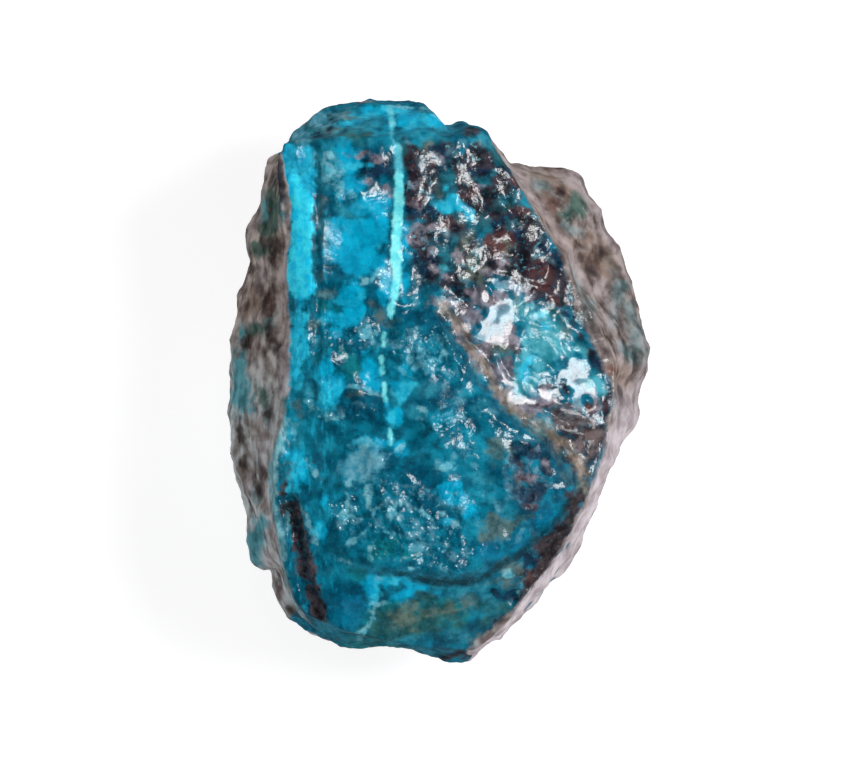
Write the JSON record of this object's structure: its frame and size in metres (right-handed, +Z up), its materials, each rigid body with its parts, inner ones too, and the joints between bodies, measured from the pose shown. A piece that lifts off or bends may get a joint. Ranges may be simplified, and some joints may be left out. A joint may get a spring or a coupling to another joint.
{
  "type": "chrysocolla specimen",
  "caption": "Rough chrysocolla stone: a wet-looking blue-green face with a pale vein and a glassy lobe, on brown-grey host rock.",
  "frame": {"origin": "on the surface that the stone rests on, under the middle of its length and width", "axes": "+Z up out of the blue face; +Y along the pale vein, towards the narrow bevelled end; +X across the face, towards the glossy shoulder"},
  "size_m": [0.0466, 0.062, 0.031],
  "materials": {
    "stone": "satin"
  },
  "bodies": {
    "root": {"chrysocolla_stone": "stone"}
  },
  "joints": []
}
